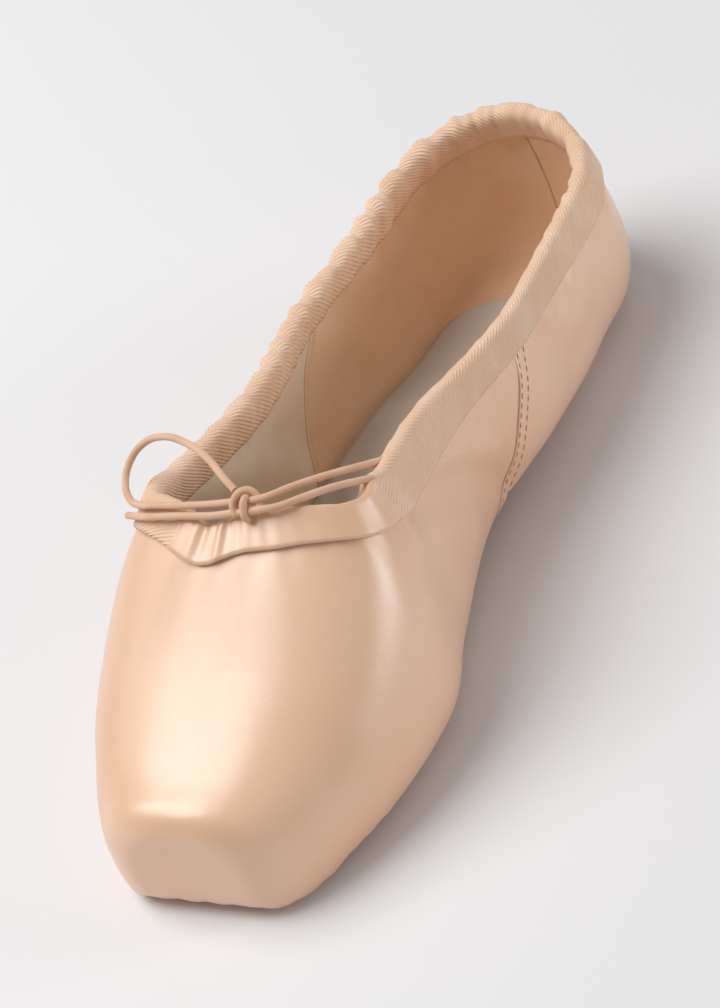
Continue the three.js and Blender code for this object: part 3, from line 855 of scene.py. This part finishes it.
# Drawstring: a round elastic cord that runs in the binding. Its two strands come out of the casing beside
# the throat and are tied in a knot, with one loop and one short cut end over the left of the vamp.
CORD = 1.8
STRAND_UPPER = [(9.7, 66.7, 70.8), (15, 72, 69.8), (20, 79.5, 66.8), (24.5, 88.5, 62), (26.7, 93.6, 59.2)]
STRAND_LOWER = [(9.7, 64.4, 69.4), (13.5, 65.9, 69.1), (18, 69.5, 68.7), (23, 75.5, 66.8), (28.6, 84, 62.3)]
LOOP = [
    (2.4, 66, 69.9), (-3, 65.5, 69.3), (-9, 65.1, 68.9), (-14, 65.2, 68.4), (-20.5, 66.4, 66.9),
    (-26.5, 68.6, 64.6), (-31, 71.5, 63.8), (-33.5, 75.5, 65), (-33, 79.5, 68), (-29.5, 82.3, 71.3),
    (-23.5, 82.4, 73.8), (-15, 79.5, 75), (-7, 74.9, 74.8), (-0.5, 69.8, 73.4), (2.8, 67.6, 72.1),
]
TAIL = [
    (2.4, 63.8, 68.4), (-2, 63.1, 68), (-7, 62.9, 67.7), (-12, 63.1, 67.2), (-17, 63.5, 66.3),
    (-22, 64.6, 64.8), (-27, 66.6, 62.8), (-31, 68.6, 61),
]
KNOT_TURNS = [
    [(9.2, 65.2, 68.6), (8.6, 66.9, 70.3), (7.4, 67.6, 72), (5.4, 67, 72.7), (3.6, 65.6, 71.6),
     (3.0, 64.2, 69.8), (3.6, 63.6, 68.4)],
    [(6.2, 66.8, 71.3), (6.2, 65.0, 71.6), (6.3, 63.3, 70.2), (6.4, 62.7, 68.4), (6.4, 63.3, 67)],
]


def cord_cotton():
    constants = {"Roughness": 0.6, "Specular IOR Level": 0.3, "Sheen Weight": 0.2}
    finish, tone, sockets = new_finish("cord_cotton", constants)
    place = tone.object_place()
    fibre = tone.noise(place, 1800, 2)
    tint = tone.noise(place, 120, 2)
    tint.step(0.3, 0.7).mix(colour(219, 174, 142), colour(229, 189, 158)).feed(sockets["Base Color"])
    tone.bump(fibre, 0.08).feed(sockets["Normal"])
    return finish


def frame_point(place):
    """A place given as x, s and height in millimetres, as a point of the frame."""
    x, s, z = place
    return Vector((x * MM, (s - MIDDLE) * MM, z * MM))


def cord_curve(name, routes, finish):
    """A round cord along smooth curves through its routes."""
    line = bpy.data.curves.new(name, "CURVE")
    line.dimensions = "3D"
    line.bevel_depth = CORD / 2 * MM
    line.bevel_resolution = 4
    line.resolution_u = 8
    line.use_fill_caps = True
    for route in routes:
        spline = line.splines.new("BEZIER")
        spline.bezier_points.add(len(route) - 1)
        for point, place in zip(spline.bezier_points, route):
            point.co = frame_point(place)
            point.handle_left_type = "AUTO"
            point.handle_right_type = "AUTO"
    line.materials.append(finish)
    piece = bpy.data.objects.new(name, line)
    bpy.context.scene.collection.objects.link(piece)
    return piece


cord_finish = cord_cotton()
knot = cord_curve("cord_knot", KNOT_TURNS, cord_finish)
part_of_shoe(knot, "cord", "knot")
looped = cord_curve("cord_looped", [STRAND_UPPER[::-1] + LOOP], cord_finish)
part_of_shoe(looped, "cord", "strand_upper", "loop")
frame_point(STRAND_UPPER[-1])
ended = cord_curve("cord_ended", [STRAND_LOWER[::-1] + TAIL], cord_finish)
part_of_shoe(ended, "cord", "strand_lower", "tail")
frame_point(STRAND_LOWER[-1])

# Floor and light: a plain pale floor under a large soft light from the front and above, with a weaker one
# from the right, as in a photo studio.
FLOOR_SIZE = 8
LIGHTS = [
    ("key_light", (-0.65, -0.2, 1.2), 1.2, 17),
    ("side_light", (1.4, 0.5, 0.35), 0.7, 6),
]


def floor_paint():
    finish, tone, sockets = new_finish("floor_paint", {"Roughness": 0.6, "Specular IOR Level": 0.2})
    shade = tone.noise(tone.object_place(), 3, 1)
    shade.step(0.2, 0.8).mix(colour(231, 230, 231), colour(236, 235, 235)).feed(sockets["Base Color"])
    return finish


floor_mesh = bmesh.new()
bmesh.ops.create_grid(floor_mesh, x_segments=2, y_segments=2, size=FLOOR_SIZE / 2)
floor = placed("floor", floor_mesh)
floor.data.materials.append(floor_paint())

for light_name, light_place, light_size, watts in LIGHTS:
    lamp = bpy.data.lights.new(light_name, "AREA")
    lamp.shape = "DISK"
    lamp.size = light_size
    lamp.energy = watts
    light = bpy.data.objects.new(light_name, lamp)
    light.location = light_place
    light.rotation_mode = "QUATERNION"
    light.rotation_quaternion = (-Vector(light_place)).to_track_quat("-Z", "Y")
    bpy.context.scene.collection.objects.link(light)

studio = bpy.data.worlds.new("studio")
studio.use_nodes = True
studio.node_tree.nodes["Background"].inputs["Color"].default_value = colour(246, 246, 250)
studio.node_tree.nodes["Background"].inputs["Strength"].default_value = 0.32
bpy.context.scene.world = studio
bpy.context.scene.view_settings.view_transform = "Standard"

# Camera: looks down on the toe and the right side of the shoe from a long way off, turned so that the
# shoe stands steeply in the upright picture.
VIEW = {"azimuth": 38.1, "elevation": 37.8, "roll": -22.6}
DISTANCE = 1.2
AIM = Vector((-0.001, -0.006, 0.0245))
LENS = 177

azimuth = math.radians(VIEW["azimuth"])
elevation = math.radians(VIEW["elevation"])
roll = math.radians(VIEW["roll"])
level_right = Vector((math.cos(azimuth), math.sin(azimuth), 0))
level_back = Vector((math.sin(azimuth), -math.cos(azimuth), 0))
back = level_back * math.cos(elevation) + Vector((0, 0, math.sin(elevation)))
level_up = back.cross(level_right)
right = level_right * math.cos(roll) + level_up * math.sin(roll)
up = level_up * math.cos(roll) - level_right * math.sin(roll)
lens = bpy.data.cameras.new("camera")
lens.lens = LENS
lens.clip_start = 0.05
camera = bpy.data.objects.new("camera", lens)
turned = Matrix((right, up, back)).transposed()
camera.matrix_world = Matrix.Translation(AIM + back * DISTANCE) @ turned.to_4x4()
bpy.context.scene.collection.objects.link(camera)
bpy.context.scene.camera = camera

bpy.context.view_layer.update()
